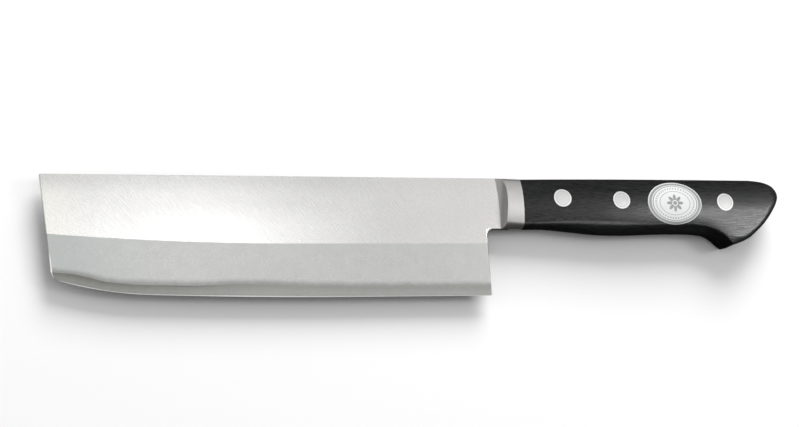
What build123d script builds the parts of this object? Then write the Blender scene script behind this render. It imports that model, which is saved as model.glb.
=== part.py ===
from build123d import *
import math
import os

# A nakiri, the square-ended vegetable knife, lying on its right side.
# +X runs from the tip to the butt, +Y from the edge to the spine, +Z out of the left side.
# It is drawn about the bolster's front crease on the spine, in the blade's middle plane,
# and moved at the end so that the origin is the centre of the underside of its bounding box.
# A depth is a distance below the spine, towards the edge. Lengths are in millimetres, slants in degrees.

# Blade, a hard core between two soft layers
blade_length = 165.0
blade_height = 44.1
blade_thickness = 2.0
core_thickness = 0.6
edge_thickness = 0.1
heel_to_bolster = 3.3
edge_straight = 51.0
edge_radius = 2100.0
tip_sweep_length = 38.0
tip_sweep_radius = 136.0
tip_slant = 5.9
tip_corner_radius = 4.0
heel_slant = 1.9
grind_depth = 24.7
grind_straight = 73.0
grind_radius = 1150.0
core_exposure = 3.5

# Neck and bolster, two halves welded into shallow seats on the sides of the neck
bolster_length = 9.75
bolster_seat = 0.2
neck_stub = 4.5
neck_depth = 19.3
neck_fillet = 2.4
back_drop = 0.3
bolster_front_bulge = 2.25
cove_radius = 5.0
cove_top_setback = 0.9
cove_top_rise = 5.95
cove_bottom_setback = 2.4
cove_bottom_rise = 4.2

# Handle, one block sawn open along its back
handle_length = 106.0
handle_half = 7.5
handle_depth = 21.45
belly_bulge = 2.35
crown_depth = 12.0
back_half = 4.5
back_round = 1.1
belly_round = 2.4
hook_depth = 26.1
hook_reach = 21.1
butt_round = 0.6

# Tang, a plain plate welded to the neck stub under the bolster
tang_length = 98.0
tang_front_depth = 15.4
tang_rear_depth = 13.6
tang_corner_radius = 2.0

# Rivets, each a stud driven into a tube
rivet_head_diameter = 6.9
rivet_tube_diameter = 4.8
rivet_stud_diameter = 3.2
rivet_head_thickness = 1.6
rivet_end_gap = 0.3
front_rivet_place = 15.4
front_rivet_depth = 8.1
middle_rivet_place = 38.9
middle_rivet_depth = 8.95
rear_rivet_place = 82.3
rear_rivet_depth = 9.5

# Label, a thin oval seal on the left side
label_length = 22.5
label_height = 16.6
label_thickness = 0.15
label_place = 60.8
label_depth = 10.1

# One overrun for every cutting tool
overrun = 1.0

# Handle sections of the grip, as shares of its length from the bolster to the hook's point
grip_place_shares = (0.0, 0.121, 0.238, 0.357, 0.474, 0.592, 0.709, 0.828)
# Handle sections of the hook, as shares of hook_reach behind the hook's point
hook_place_shares = (-0.502, -0.317, -0.126, 0.065, 1.050)
# Depth of the belly at each section of the grip, as shares of handle_depth
grip_belly_shares = (0.900, 0.893, 0.942, 0.988, 1.000, 0.987, 0.975, 0.983)
# How far the belly has gone down at each section of the hook, as shares from handle_depth to hook_depth
hook_belly_shares = (-0.010, 0.138, 0.495, 1.320, 1.340)
# How far the belly bulges below its corners, as shares of belly_bulge
bulge_shares = (0.559, 0.300, 0.641, 0.964, 1.000, 0.946, 1.024, 1.146, 1.008, 0.609, 0.153, 0.072, 0.072)
# Half thickness at the side's crown, as shares of handle_half
half_shares = (0.667, 0.765, 0.855, 0.935, 0.980, 1.000, 1.000, 0.993, 0.987, 0.980, 0.973, 0.967, 0.920)
# Half thickness at the belly's corner, as shares of the crown's
edge_half_shares = (0.820, 0.860, 0.890, 0.895, 0.895, 0.900, 0.907, 0.913, 0.920, 0.930, 0.940, 0.940, 0.940)
# Half thickness at the back, as shares of back_half
back_shares = (0.450, 0.620, 0.760, 0.870, 0.940, 0.980, 1.000, 1.020, 1.020, 1.020, 1.020, 1.020, 1.000)
# Depth of the side's crown, as shares of crown_depth
crown_shares = (0.930, 0.930, 0.950, 0.980, 1.000, 1.000, 1.000, 1.010, 1.020, 1.030, 1.040, 1.050, 1.050)
# Rounding of the belly's corner, as shares of belly_round
round_shares = (0.550, 1.000, 1.000, 0.950, 0.750, 0.550, 0.420, 0.360, 0.340, 0.340, 0.340, 0.340, 0.340)

# The butt's outline from the hook's point round to the back, as shares of hook_reach and hook_depth
butt_reach_shares = (1.0, 0.756, 0.486, 0.282, 0.128, 0.040, 0.0, 0.045, 0.150, 0.344, 0.547, 0.680)
butt_depth_shares = (1.0, 0.931, 0.785, 0.632, 0.472, 0.355, 0.250, 0.152, 0.086, 0.038, 0.015, -0.010)

# Places of the bevels' sections, as shares of the blade's length from the heel
bevel_shares = (-0.060, 0.060, 0.200, 0.340, 0.480, 0.620, 0.740, 0.830, 0.900, 0.960, 1.030)
# Places of the points of the cutting edge, as shares of its length from the heel
edge_shares = (0.0, 0.150, 0.300, 0.450, 0.600, 0.720, 0.800, 0.870, 0.940, 1.0)
# How often the tip corner's place is worked out again, until it no longer moves
corner_rounds = 10

tip_x = -heel_to_bolster - blade_length
butt_x = bolster_length + handle_length
hook_x = butt_x - hook_reach
half_blade = blade_thickness / 2
half_core = core_thickness / 2
half_edge = edge_thickness / 2
half_stub = half_blade - bolster_seat
stub_drop = back_drop * neck_stub / bolster_length


def at(x, depth, z=0):
    """Point at a place along the knife, a depth below the spine and a height over the middle plane."""
    return Vector(x, -depth, z)


def arc_rise(run, radius):
    """How far an arc that starts flat has risen after a run, nothing before its start."""
    run = max(run, 0)
    return radius - math.sqrt(radius * radius - run * run)


def edge_depth(x):
    """Depth of the cutting edge: straight at the heel, then a shallow arc and a tighter one at the tip."""
    shallow = arc_rise(-heel_to_bolster - edge_straight - x, edge_radius)
    sweep = arc_rise(tip_x + tip_sweep_length - x, tip_sweep_radius)
    return blade_height - shallow - sweep


def grind_line(x):
    """Depth of the line where the flat ends and the wide bevel begins."""
    return grind_depth - arc_rise(-heel_to_bolster - grind_straight - x, grind_radius)


def core_line(x):
    """Depth of the line where the bevel runs out of the soft layer into the core."""
    return edge_depth(x) - core_exposure


def tip_corner():
    """The corner where the slanted tip end meets the swept edge, found by going from one to the other."""
    slope = math.tan(math.radians(tip_slant))
    depth = blade_height
    for _ in range(corner_rounds):
        depth = edge_depth(tip_x + depth * slope)
    return at(tip_x + depth * slope, depth)


def round_upright(solid, corner, radius):
    """Rounds the upright edge of a plate that stands nearest a corner of its outline."""
    edge = solid.edges().filter_by(Axis.Z).sort_by_distance(corner).first
    return fillet(edge, radius)


def blade_plate(z_low, z_high):
    """Flat plate in the outline of the blade and its neck stub, between two heights."""
    corner = tip_corner()
    heel_x = -heel_to_bolster
    heel_rise = edge_depth(heel_x) - neck_depth
    neck = at(heel_x - heel_rise * math.tan(math.radians(heel_slant)), neck_depth)
    places = [heel_x + share * (corner.X - heel_x) for share in edge_shares]
    edge = Spline([at(x, edge_depth(x)) for x in places])
    rest = Polyline(edge @ 1, at(tip_x, 0), at(0, 0), at(neck_stub, stub_drop), at(neck_stub, neck_depth),
                    neck, edge @ 0)
    plate = extrude(make_face(edge + rest), z_high - z_low, dir=(0, 0, 1))
    plate = round_upright(plate, neck, neck_fillet)
    plate = round_upright(plate, corner, tip_corner_radius)
    return Pos(0, 0, z_low) * plate


def bevel_waste(upper_line, upper_z, lower_line, lower_z):
    """Waste over one bevel, whose face falls from an upper line to a lower line on the blade's side."""
    sections = []
    for share in bevel_shares:
        x = -heel_to_bolster - share * blade_length
        fall = (upper_z - lower_z) / (lower_line(x) - upper_line(x))
        top = upper_line(x) - overrun
        foot = lower_line(x) + overrun
        top_z = upper_z + fall * overrun
        foot_z = lower_z - fall * overrun
        below = foot + blade_height
        section = Polyline(at(x, top, top_z), at(x, foot, foot_z), at(x, below, foot_z), at(x, below, top_z),
                           close=True)
        sections.append(make_face(section))
    return loft(sections)


def core():
    """Hard core of the blade, bare along the edge, with its last bevel on both sides."""
    waste = bevel_waste(core_line, half_core, edge_depth, half_edge)
    plate = blade_plate(-half_core, half_core)
    return plate - waste - mirror(waste, Plane.XY)


def cladding():
    """Soft left layer of the blade, flat near the spine and ground away to the core below."""
    waste = bevel_waste(grind_line, half_blade, core_line, half_core)
    return blade_plate(half_core, half_blade) - waste


def tang():
    """Plain plate from the neck stub into the handle's slot, flush with the back and with the butt."""
    end = bolster_length + tang_length
    lower_end = at(end, tang_rear_depth)
    step = at(bolster_length, tang_front_depth)
    outline = Polyline(at(neck_stub, stub_drop), at(bolster_length, back_drop), at(end, back_drop), lower_end,
                       step, at(bolster_length, neck_depth), at(neck_stub, neck_depth), close=True)
    plate = extrude(make_face(outline), half_stub * 2, dir=(0, 0, 1))
    plate = round_upright(plate, lower_end, tang_corner_radius)
    return Pos(0, 0, -half_stub) * plate & butt_outline()


class Section:
    """Cross-section of the handle or bolster: flat back, bulging sides, rounded corners, crowned belly."""

    def __init__(self, x, half, edge_half, back, crown, corner, belly, rounding, grown=0):
        self.x = x
        self.top = back_drop * min(x / bolster_length, 1) - grown
        self.half = half + grown
        self.edge_half = edge_half + grown
        self.back = back + grown
        self.crown = crown
        self.corner = corner + grown
        self.belly = belly + grown
        self.rounding = rounding

    def side(self, depth):
        """Half thickness of the side at a depth, and how fast it grows with depth: one arc above the
        crown, another below it, both upright at the crown."""
        if depth < self.crown:
            run, bulge = self.crown - self.top, self.half - self.back
        else:
            run, bulge = self.corner - self.crown, self.half - self.edge_half
        radius = (run * run + bulge * bulge) / (2 * bulge)
        off = depth - self.crown
        reach = math.sqrt(radius * radius - off * off)
        return self.half - radius + reach, -off / reach

    def underside(self, z):
        """Depth of the belly at a distance from the middle plane, and how fast it falls with it."""
        bulge = self.belly - self.corner
        radius = (self.edge_half * self.edge_half + bulge * bulge) / (2 * bulge)
        reach = math.sqrt(radius * radius - z * z)
        return self.belly - radius + reach, -z / reach

    def back_corner(self):
        """Start, guide and end of the rounding between the back and the side."""
        depth = self.top + back_round
        z, slope = self.side(depth)
        guide_z = z - slope * back_round
        return (guide_z - back_round, self.top), (guide_z, self.top), (z, depth)

    def belly_corner(self):
        """Start, guide and end of the rounding between the side and the belly."""
        depth = self.corner - self.rounding
        z, side_slope = self.side(depth)
        foot_z = self.edge_half - self.rounding
        foot, belly_slope = self.underside(foot_z)
        run = (foot - depth + belly_slope * (z - foot_z)) / (1 - side_slope * belly_slope)
        return (z, depth), (z + side_slope * run, depth + run), (foot_z, foot)

    def half_edges(self, sign):
        """The edges of one side, from the back to the belly."""
        def place(spot):
            return at(self.x, spot[1], sign * spot[0])

        def arc(first, last):
            middle = (first[1] + last[1]) / 2
            return ThreePointArc(place(first), place((self.side(middle)[0], middle)), place(last))

        start, guide, end = self.back_corner()
        low_start, low_guide, low_end = self.belly_corner()
        crown = (self.half, self.crown)
        return [Bezier(place(start), place(guide), place(end)), arc(end, crown), arc(crown, low_start),
                Bezier(place(low_start), place(low_guide), place(low_end))]

    def face(self):
        """The whole cross-section as a face."""
        left = self.half_edges(1)
        right = self.half_edges(-1)
        back = Line(right[0] @ 0, left[0] @ 0)
        belly = ThreePointArc(left[-1] @ 1, at(self.x, self.belly), right[-1] @ 1)
        return make_face(Curve() + [back] + left + [belly] + right)


def handle_sections(grown=0):
    """Cross-sections of the handle from the bolster to past the butt, grown outwards where asked."""
    drop = hook_depth - handle_depth
    places = [bolster_length + share * (hook_x - bolster_length) for share in grip_place_shares]
    places += [hook_x + share * hook_reach for share in hook_place_shares]
    bellies = [share * handle_depth for share in grip_belly_shares]
    bellies += [handle_depth + share * drop for share in hook_belly_shares]
    rows = zip(places, bellies, bulge_shares, half_shares, edge_half_shares, back_shares, crown_shares,
               round_shares)
    sections = []
    for x, belly, bulge, half, edge_half, back, crown, rounding in rows:
        side = half * handle_half
        sections.append(Section(
            x=x,
            half=side,
            edge_half=edge_half * side,
            back=back * back_half,
            crown=crown * crown_depth,
            corner=belly - bulge * belly_bulge,
            belly=belly,
            rounding=rounding * belly_round,
            grown=grown,
        ))
    return sections


def side_height(x, depth):
    """Half thickness of the handle at a place and depth, between its two nearest sections."""
    sections = handle_sections()
    for front, rear in zip(sections, sections[1:]):
        if x <= rear.x:
            share = (x - front.x) / (rear.x - front.x)
            return (1 - share) * front.side(depth)[0] + share * rear.side(depth)[0]
    raise ValueError("the place lies beyond the butt")


def butt_outline():
    """Keeps the handle in front of its hooked butt: a block in the butt's side outline."""
    points = [at(butt_x - reach * hook_reach, depth * hook_depth)
              for reach, depth in zip(butt_reach_shares, butt_depth_shares)]
    butt = Spline(points)
    front = -overrun
    beneath = hook_depth + hook_depth
    point = butt @ 0
    back = butt @ 1
    rest = Polyline(back, Vector(front, back.Y), at(front, beneath), at(point.X, beneath), point)
    reach = handle_half + overrun
    return Pos(0, 0, -reach) * extrude(make_face(butt + rest), reach * 2, dir=(0, 0, 1))


def handle_lofts(grown=0):
    """The handle's back, sides and belly: a smooth solid up to the hook and a straight one beyond."""
    faces = [section.face() for section in handle_sections(grown)]
    return loft(faces[:-1]), loft(faces[-2:])


def handle_body():
    """The handle's outer shape with its hooked butt, before its slot and rivet holes."""
    front, rear = handle_lofts()
    body = (front + rear) & butt_outline()
    butt = body.faces().filter_by(GeomType.EXTRUSION).sort_by(Axis.X).last
    rims = [edge for edge in butt.edges() if abs(edge.tangent_at().Z) < abs(edge.tangent_at().X)]
    return fillet(rims, butt_round)


def bolster_sections():
    """Cross-sections of the bolster at its front crease and at its joint with the handle."""
    joint = handle_sections()[0]
    front = Section(x=0, half=joint.half, edge_half=joint.edge_half, back=joint.back, crown=joint.crown,
                    corner=joint.belly - bolster_front_bulge, belly=joint.belly, rounding=joint.rounding)
    return [front, joint]


def cove():
    """Round cutter that scoops the bolster's front, leaning out and back towards the spine."""
    top = at(-cove_top_setback, 0, cove_top_rise)
    bottom = at(-cove_bottom_setback, neck_depth, cove_bottom_rise)
    lean = (bottom - top).normalized()
    length = (bottom - top).length + neck_depth
    start = top - lean * (neck_depth / 2)
    cutter = Cylinder(cove_radius, length, align=(Align.CENTER, Align.CENTER, Align.MIN))
    return Plane(origin=start, z_dir=lean) * cutter


def bolster():
    """Left half of the bolster, flush with the handle, scooped in front and flat in its seat."""
    body = loft([section.face() for section in bolster_sections()], ruled=True)
    keep = Pos(0, -neck_depth / 2, half_stub) * Box(
        bolster_length * 2, neck_depth * 2, handle_half, align=(Align.CENTER, Align.CENTER, Align.MIN))
    return (body & keep) - cove()


def rivet_places():
    """Name, place along the knife and depth of each rivet."""
    return [
        ("front", bolster_length + front_rivet_place, front_rivet_depth),
        ("middle", bolster_length + middle_rivet_place, middle_rivet_depth),
        ("rear", bolster_length + rear_rivet_place, rear_rivet_depth),
    ]


def upright_pin(x, depth, diameter, z_low, z_high):
    """Upright cylinder between two heights."""
    pin = Cylinder(diameter / 2, z_high - z_low, align=(Align.CENTER, Align.CENTER, Align.MIN))
    return Pos(x, -depth, z_low) * pin


def seat_height(x, depth):
    """Height of the seat under a rivet's head."""
    return side_height(x, depth) - rivet_head_thickness


def rivet_hole(x, depth):
    """Stepped hole through the handle for one rivet."""
    seat = seat_height(x, depth)
    clear = handle_half + overrun
    hole = upright_pin(x, depth, rivet_tube_diameter, -seat, seat)
    upper = upright_pin(x, depth, rivet_head_diameter, seat, clear)
    return hole + upper + mirror(upper, Plane.XY)


def rivet_stud(x, depth, body):
    """Solid half of a rivet, its head on the left side."""
    seat = seat_height(x, depth)
    head = upright_pin(x, depth, rivet_head_diameter, seat, handle_half + overrun) & body
    return head + upright_pin(x, depth, rivet_stud_diameter, -seat, seat)


def rivet_tube(x, depth, body):
    """Hollow half of a rivet, its head on the right side, with the stud driven into it."""
    seat = seat_height(x, depth)
    head = upright_pin(x, depth, rivet_head_diameter, -handle_half - overrun, -seat) & body
    tube = upright_pin(x, depth, rivet_tube_diameter, -seat, seat - rivet_end_gap)
    bore = upright_pin(x, depth, rivet_stud_diameter, -seat, seat)
    return head + (tube - bore)


def label():
    """Thin oval seal that follows the handle's left side."""
    outer, _ = handle_lofts(grown=label_thickness)
    oval = make_face(Ellipse(label_length / 2, label_height / 2).edges())
    prism = extrude(oval, handle_half + overrun, dir=(0, 0, 1))
    prism = Pos(bolster_length + label_place, -label_depth, 0) * prism
    return outer & prism


def build():
    """Every piece of the knife by its name, in its place."""
    body = handle_body()
    plate = tang()
    block = body - plate
    left_bolster = bolster()
    left_cladding = cladding() - left_bolster
    pieces = {}
    for name, x, depth in rivet_places():
        hole = rivet_hole(x, depth)
        block = block - hole
        plate = plate - hole
        pieces[name + "_rivet_stud"] = rivet_stud(x, depth, body)
        pieces[name + "_rivet_tube"] = rivet_tube(x, depth, body)
    pieces["core_steel"] = core()
    pieces["cladding_left"] = left_cladding
    pieces["cladding_right"] = mirror(left_cladding, Plane.XY)
    pieces["bolster_left"] = left_bolster
    pieces["bolster_right"] = mirror(left_bolster, Plane.XY)
    pieces["tang"] = plate
    pieces["handle"] = block
    pieces["label"] = label() - body
    return pieces


def export(pieces):
    """Moves the knife to its origin and writes one file for each piece."""
    bounds = Compound(children=[Part() + piece for piece in pieces.values()]).bounding_box()
    shift = Pos(-bounds.center().X, -bounds.center().Y, -bounds.min.Z)
    os.makedirs("parts", exist_ok=True)
    for name, piece in pieces.items():
        export_step(shift * piece, "parts/" + name + ".step")
    size = bounds.size
    print("length", round(size.X, 2), "width", round(size.Y, 2), "thickness", round(size.Z, 2))


export(build())
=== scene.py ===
import math
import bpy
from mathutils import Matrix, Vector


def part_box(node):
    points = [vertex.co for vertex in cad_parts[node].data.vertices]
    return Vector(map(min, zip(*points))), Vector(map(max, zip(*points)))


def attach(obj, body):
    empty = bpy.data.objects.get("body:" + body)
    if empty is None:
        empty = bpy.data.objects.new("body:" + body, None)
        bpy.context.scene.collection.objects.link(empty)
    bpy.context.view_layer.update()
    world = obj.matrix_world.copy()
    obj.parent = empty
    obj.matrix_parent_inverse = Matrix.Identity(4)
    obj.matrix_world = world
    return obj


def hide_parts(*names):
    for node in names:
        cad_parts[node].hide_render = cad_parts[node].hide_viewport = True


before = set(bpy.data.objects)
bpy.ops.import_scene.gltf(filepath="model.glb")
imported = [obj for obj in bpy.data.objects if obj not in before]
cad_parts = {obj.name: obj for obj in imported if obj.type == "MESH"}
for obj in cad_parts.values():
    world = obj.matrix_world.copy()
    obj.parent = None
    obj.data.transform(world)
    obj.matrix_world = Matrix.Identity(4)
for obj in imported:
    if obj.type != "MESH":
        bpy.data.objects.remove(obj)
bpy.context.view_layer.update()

from types import SimpleNamespace

import bmesh
import bpy
import numpy as np
from bpy.props import FloatProperty, FloatVectorProperty, PointerProperty
from mathutils import Matrix, Vector

bl_info = {
    "name": "Nakiri Knife",
    "version": (1, 0, 0),
    "blender": (4, 5, 0),
    "location": "View3D > Sidebar > Nakiri",
    "description": "Dresses the packed nakiri: three-layer blade, welded bolster, riveted black handle",
    "category": "Object",
}

# The knife is drawn from the bolster's front crease on the spine, in the blade's middle plane. From there a
# place runs towards the butt, a depth from the spine towards the edge and a height out of the left side.
CREASE_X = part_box("bolster_left")[0].x
SPINE_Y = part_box("core_steel")[1].y
MIDDLE_Z = (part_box("core_steel")[0].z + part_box("core_steel")[1].z) / 2


def row_points(place, depth, height):
    """Points in the row frame from places along the knife, depths and heights over its middle plane."""
    place, depth, height = np.broadcast_arrays(place, depth, height)
    return np.stack([CREASE_X + place, SPINE_Y - depth, MIDDLE_Z + height], axis=-1)


def arc_rise(run, radius):
    """How far an arc that starts flat has risen after a run: radius - sqrt(radius^2 - run^2), or zero."""
    run = np.clip(run, 0.0, radius)
    return radius - np.sqrt(radius * radius - run * run)


def rim_ease(distance, radius):
    """How far a rounded rim lies below its face at a distance from the rim: a quarter circle, then zero."""
    return arc_rise(radius - np.maximum(distance, 0.0), np.maximum(radius, 1e-9))


def smooth_table(x, places, values):
    """Smooth curve through a table: cubic pieces whose slopes are those between the neighbours."""
    places = np.asarray(places, float)
    values = np.asarray(values, float)
    slopes = np.gradient(values, places)
    x = np.clip(x, places[0], places[-1])
    i = np.clip(np.searchsorted(places, x, side="right") - 1, 0, len(places) - 2)
    run = places[i + 1] - places[i]
    t = (x - places[i]) / run
    low = (1 + 2 * t) * (1 - t) ** 2 * values[i] + t * (1 - t) ** 2 * run * slopes[i]
    high = t * t * (3 - 2 * t) * values[i + 1] + t * t * (t - 1) * run * slopes[i + 1]
    return low + high


def rim_steps(radius, length, count):
    """Shares from 0 to 1, evenly spaced inside and crowded into a rounded rim of the radius at both ends."""
    rim = radius * (1 - np.cos(np.linspace(0.0, math.pi / 2, 6))) / length
    inner = np.linspace(rim[-1], 1 - rim[-1], count + 2)[1:-1]
    return np.unique(np.round(np.concatenate([rim, inner, 1 - rim[::-1]]), 12))


def ruled(first, last, shares):
    """Points on the straight line between two points."""
    return first + (last - first) * shares[:, None]


def bezier(t, start, guide, end):
    """Quadratic Bezier."""
    return (1 - t) ** 2 * start + 2 * t * (1 - t) * guide + t * t * end


def halve(near, far, beyond):
    """Where a test turns true between two places, found by halving the stretch between them forty times."""
    for _ in range(40):
        middle = (near + far) / 2
        past = beyond(middle)
        near, far = np.where(past, near, middle), np.where(past, middle, far)
    return far


def coons_patch(top, bottom, left, right, u, v):
    """Fills four border curves: the two ruled surfaces between opposite borders, added, less the flat one
    between the four corners. top and bottom run rightwards with the shares u, left and right down with v."""
    u, v = u[None, :, None], v[:, None, None]
    across = (1 - v) * top[None] + v * bottom[None]
    down = (1 - u) * left[:, None] + u * right[:, None]
    corners = ((1 - u) * (1 - v) * top[0] + u * (1 - v) * top[-1]
               + (1 - u) * v * bottom[0] + u * v * bottom[-1])
    return across + down - corners


def sheet(points, group=0, uv=None):
    """One grid of points, the group whose faces it shades smoothly with, and its own flat coordinates, which
    run from 0 to 1 both ways unless they are given."""
    if uv is None:
        rows, columns = points.shape[:2]
        uv = np.stack(np.meshgrid(np.linspace(0, 1, columns), np.linspace(0, 1, rows)), axis=-1)
    return points, group, uv


def closed_piece(name, sheets, sharp_angle=35.0, merge=1e-7):
    """Joins grids into one closed mesh: shared points are merged, slivers dissolved, faces turned outwards.
    An edge is sharp where it bends by more than the angle or where two groups meet."""
    points, faces, groups, uvs = [], [], [], []
    start = 0
    for grid, group, uv in sheets:
        rows, columns = grid.shape[:2]
        number = start + np.arange(rows * columns).reshape(rows, columns)
        quads = np.stack([number[:-1, :-1], number[:-1, 1:], number[1:, 1:], number[1:, :-1]], axis=-1)
        points.append(grid.reshape(-1, 3))
        uvs.append(uv.reshape(-1, 2))
        faces.append(quads.reshape(-1, 4))
        groups.append(np.full(len(faces[-1]), group))
        start += rows * columns
    points, faces, uvs = np.concatenate(points), np.concatenate(faces), np.concatenate(uvs)
    mesh = bpy.data.meshes.new(name)
    mesh.from_pydata(points, [], faces)
    layer = mesh.uv_layers.new(name="surface")
    layer.data.foreach_set("uv", uvs[faces.reshape(-1)].reshape(-1).astype(np.float32))
    tag = mesh.attributes.new("group", "INT", "FACE")
    tag.data.foreach_set("value", np.concatenate(groups).astype(np.int32))
    shell = bmesh.new()
    shell.from_mesh(mesh)
    bmesh.ops.remove_doubles(shell, verts=shell.verts, dist=merge)
    bmesh.ops.dissolve_degenerate(shell, edges=shell.edges, dist=merge)
    bmesh.ops.recalc_face_normals(shell, faces=shell.faces)
    open_edges = sum(1 for edge in shell.edges if len(edge.link_faces) != 2)
    shell.to_mesh(mesh)
    shell.free()
    if open_edges:
        raise RuntimeError(f"{name} has {open_edges} open edges")
    shade(mesh, sharp_angle)
    piece = bpy.data.objects.new(name, mesh)
    bpy.context.scene.collection.objects.link(piece)
    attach(piece, "root")
    return piece


def shade(mesh, sharp_angle):
    """Smooth shading that breaks at sharp bends and at the borders of the groups."""
    mesh.shade_smooth()
    mesh.set_sharp_from_angle(angle=math.radians(sharp_angle))

    def read(items, key, kind=np.int32):
        values = np.zeros(len(items), kind)
        items.foreach_get(key, values)
        return values

    edges = read(mesh.loops, "edge_index")
    groups = np.repeat(read(mesh.attributes["group"].data, "value"), read(mesh.polygons, "loop_total"))
    lowest = np.full(len(mesh.edges), groups.max())
    highest = np.full(len(mesh.edges), groups.min())
    np.minimum.at(lowest, edges, groups)
    np.maximum.at(highest, edges, groups)
    sharp = mesh.attributes.get("sharp_edge") or mesh.attributes.new("sharp_edge", "BOOLEAN", "EDGE")
    sharp.data.foreach_set("value", read(sharp.data, "value", bool) | (lowest != highest))
    mesh.attributes.remove(mesh.attributes["group"])


def length(name, description, default):
    """A length property in metres."""
    return FloatProperty(name=name, description=description, default=default, unit="LENGTH", precision=5)


def power(name, description, default):
    """The power of a light in watts."""
    return FloatProperty(name=name, description=description, default=default, unit="POWER")


def slant(name, description, degrees):
    """An angle property."""
    return FloatProperty(name=name, description=description, default=math.radians(degrees), unit="ROTATION")


def colour(name, description, default):
    """A colour property."""
    return FloatVectorProperty(name=name, description=description, default=default, subtype="COLOR",
                               size=3, min=0.0, max=1.0)


class BladeSettings(bpy.types.PropertyGroup):
    """Sizes and colours of the three-layer blade."""

    length: length("Length", "From the tip end to the heel", 0.165)
    height: length("Height", "From the spine to the edge at the heel", 0.0441)
    thickness: length("Thickness", "Over all three layers", 0.0020)
    core: length("Core thickness", "Thickness of the hard layer", 0.0006)
    edge: length("Edge thickness", "Thickness of the cutting edge", 0.00008)
    honed: length("Honed bevel", "Height of the last fine bevel", 0.0003)
    honed_thickness: length("Honed bevel thickness", "Thickness where the last fine bevel begins", 0.00024)
    heel_gap: length("Heel gap", "From the heel to the bolster's front crease", 0.0033)
    edge_straight: length("Straight edge", "Straight stretch of the edge at the heel", 0.051)
    edge_radius: length("Edge radius", "Radius of the edge's shallow curve", 2.1)
    sweep_length: length("Sweep length", "Length of the tighter curve at the tip", 0.038)
    sweep_radius: length("Sweep radius", "Radius of the tighter curve at the tip", 0.136)
    tip_slant: slant("Tip slant", "How far the tip end leans", 5.9)
    tip_round: length("Tip corner radius", "Rounding of the tip's lower corner", 0.004)
    heel_slant: slant("Heel slant", "How far the heel leans", 1.9)
    grind_depth: length("Grind depth", "Depth of the line where the wide bevel begins", 0.0247)
    grind_straight: length("Grind straight", "Straight stretch of that line at the heel", 0.073)
    grind_radius: length("Grind radius", "Radius of that line beyond it", 1.15)
    exposure: length("Core exposure", "Height of the bare core over the edge", 0.0035)
    neck_depth: length("Neck depth", "Depth of the neck's lower side", 0.0193)
    neck_fillet: length("Neck fillet", "Rounding between the neck and the heel", 0.0024)
    flat_colour: colour("Flat", "Colour of the satin flat", (0.655, 0.650, 0.643))
    bevel_colour: colour("Bevel", "Colour of the ground bevel", (0.500, 0.506, 0.498))
    core_colour: colour("Core", "Colour of the etched core", (0.172, 0.172, 0.160))


class BolsterSettings(bpy.types.PropertyGroup):
    """Sizes and colour of the welded bolster."""

    length: length("Length", "From its front crease to the handle", 0.00975)
    stub: length("Neck stub", "How far the blade's neck runs in between the halves", 0.0045)
    front_bulge: length("Front bulge", "How far the belly bulges below its corners at the crease", 0.00225)
    cove_radius: length("Cove radius", "Radius of the scooped front", 0.005)
    top_setback: length("Cove setback at the back", "How far the cove's axis stands in front", 0.0009)
    top_rise: length("Cove rise at the back", "Height of the cove's axis over the middle plane", 0.00595)
    low_setback: length("Cove setback at the belly", "How far the cove's axis stands in front", 0.0024)
    low_rise: length("Cove rise at the belly", "Height of the cove's axis over the middle plane", 0.0042)
    rim: length("Rim rounding", "Rounding of the cove's rim", 0.00022)
    colour: colour("Steel", "Colour of the bolster", (0.56, 0.553, 0.540))


class HandleSettings(bpy.types.PropertyGroup):
    """Sizes and colours of the handle, and the colour of the tang that shows in its back."""

    length: length("Length", "From the bolster to the butt", 0.106)
    half: length("Half thickness", "Largest half thickness", 0.0075)
    depth: length("Depth", "Depth of the grip", 0.02145)
    bulge: length("Belly bulge", "How far the belly bulges below its corners", 0.00235)
    crown: length("Crown depth", "Depth where the side is thickest", 0.012)
    back_half: length("Back half width", "Half the width of the flat back", 0.0045)
    back_round: length("Back rounding", "Rounding between back and side", 0.0011)
    belly_round: length("Belly rounding", "Rounding between side and belly", 0.0024)
    back_drop: length("Back drop", "How far the back lies below the spine", 0.0003)
    hook_depth: length("Hook depth", "Depth of the hook's point", 0.0261)
    hook_reach: length("Hook reach", "From the hook's point to the butt", 0.0211)
    butt_round: length("Butt rounding", "Length of the rounding at the butt's rims", 0.0034)
    wood_colour: colour("Wood", "Colour of the blackened wood", (0.0032, 0.0038, 0.0036))
    grain_colour: colour("Grain", "Colour of the wood's paler fibres", (0.021, 0.0222, 0.021))
    tang_colour: colour("Tang", "Colour of the tang's steel", (0.50, 0.50, 0.50))


class RivetSettings(bpy.types.PropertyGroup):
    """Sizes and colour of the three rivets."""

    head: length("Head diameter", "Diameter of a rivet's head", 0.0069)
    proud: length("Stand", "How far a head stands over the wood", 0.00005)
    rim: length("Head rounding", "Rounding of the head's rim", 0.00012)
    bore: length("Bore diameter", "Diameter of the shank's bore, seen as a faint ring", 0.0032)
    seat: length("Head thickness", "Thickness of a head", 0.0016)
    shank: length("Tube diameter", "Diameter of the tube behind the head", 0.0048)
    colour: colour("Steel", "Colour of the rivets", (0.62, 0.62, 0.615))


class LabelSettings(bpy.types.PropertyGroup):
    """Size, place and colours of the oval label."""

    length: length("Length", "Along the handle", 0.0225)
    height: length("Height", "Across the handle", 0.0166)
    thickness: length("Thickness", "Thickness of the film", 0.00015)
    place: length("Place", "From the bolster's joint to the middle", 0.0608)
    depth: length("Depth", "From the spine to the middle", 0.0101)
    film_colour: colour("Film", "Colour of the white film", (0.70, 0.705, 0.70))
    print_colour: colour("Print", "Colour of the grey print", (0.27, 0.28, 0.285))


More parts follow.
